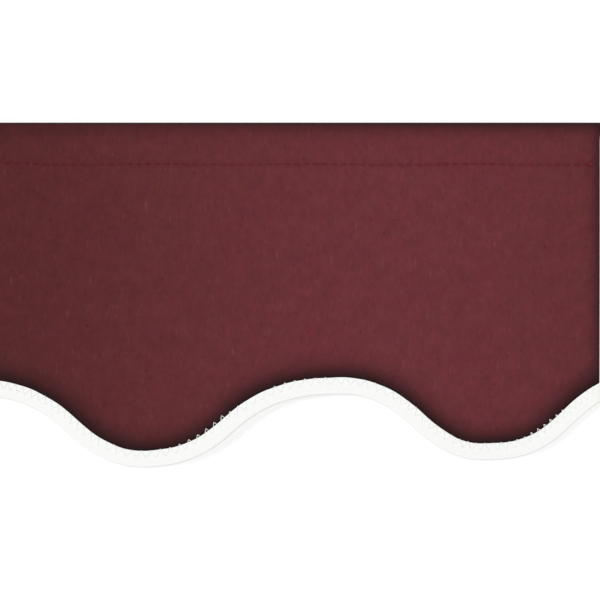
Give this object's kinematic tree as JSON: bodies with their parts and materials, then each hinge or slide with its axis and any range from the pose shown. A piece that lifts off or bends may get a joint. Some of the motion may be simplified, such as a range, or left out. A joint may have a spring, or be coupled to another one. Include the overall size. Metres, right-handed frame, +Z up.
{
  "type": "awning valance",
  "caption": "Hanging cloth valance for an awning's front rail: stitched hem with a rod bead along the top, and a scalloped lower edge bound in white tape.",
  "frame": {"origin": "on the axis of the rod in the hem, half way along the valance", "axes": "+X along the valance towards its right-hand end seen from the front, +Y from the front to the back, +Z up"},
  "size_m": [0.74, 0.007, 0.2024],
  "materials": {
    "awning_cloth": "matt woven acrylic, burgundy",
    "binding_tape": "matt woven tape, white",
    "rod_plastic": "extruded, slightly satin"
  },
  "bodies": {
    "root": {"valance_cloth": "awning_cloth", "edge_binding": "binding_tape", "hem_rod": "rod_plastic"}
  },
  "joints": []
}
